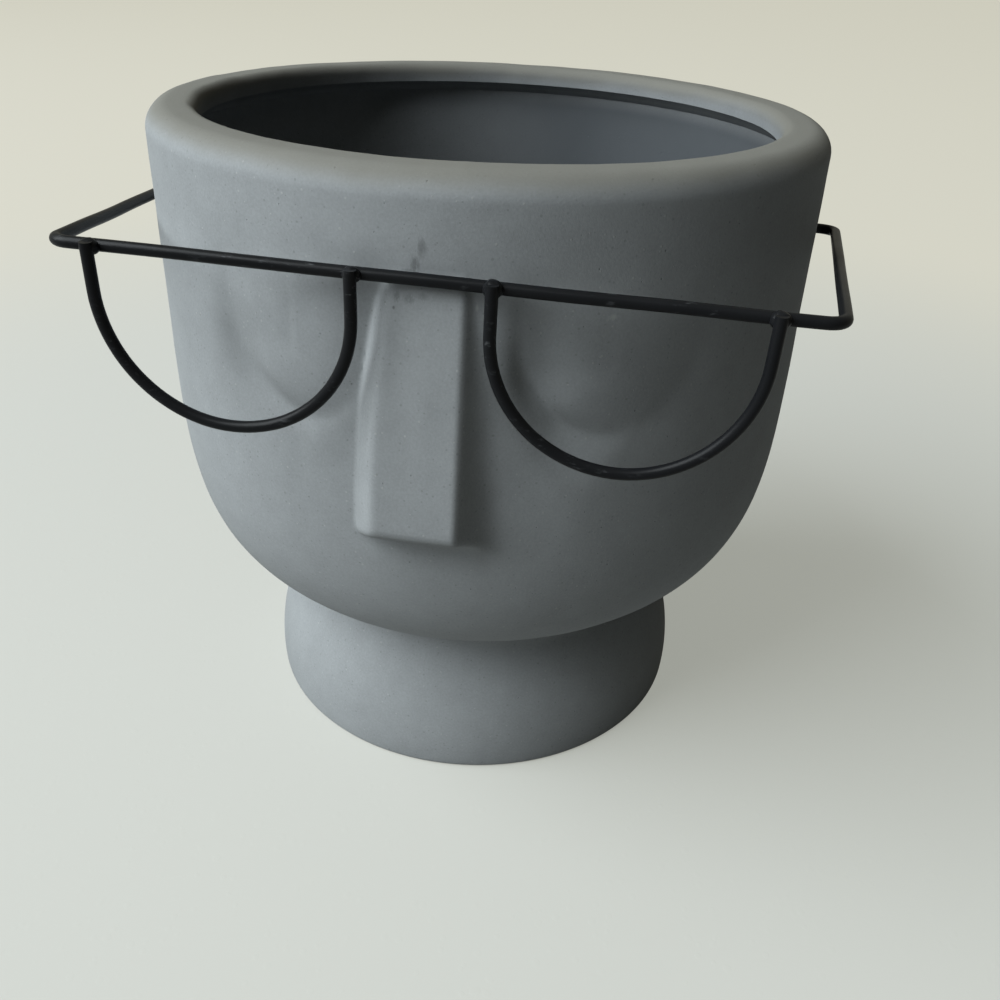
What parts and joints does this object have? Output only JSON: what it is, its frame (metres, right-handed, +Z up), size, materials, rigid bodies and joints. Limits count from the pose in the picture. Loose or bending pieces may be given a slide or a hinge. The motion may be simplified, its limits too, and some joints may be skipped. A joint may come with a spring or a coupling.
{
  "type": "head planter",
  "caption": "Grey stoneware head planter with a wedge nose and soft closed eyes, wearing loose black wire glasses that tilt on two side holes.",
  "frame": {"origin": "middle of the foot, on the surface that the pot stands on", "axes": "+Z up along the pot's axis, -Y out of the face, +X towards the face's left ear, which is on the right as one looks at it"},
  "size_m": [0.2167, 0.2101, 0.202],
  "materials": {
    "stoneware": "matte",
    "black_wire": "satin"
  },
  "bodies": {
    "pot": {"head_pot": "stoneware"},
    "glasses": {"brow_wire": "black_wire", "left_lens_wire": "black_wire", "right_lens_wire": "black_wire", "lens_welds": "black_wire"}
  },
  "joints": [
    {"name": "glasses_tilt", "type": "hinge", "parent": "pot", "child": "glasses", "pos_m": [0, 0.012, 0.1692], "axis": [-1, 0, 0], "range_deg": [0, 1.9]}
  ]
}
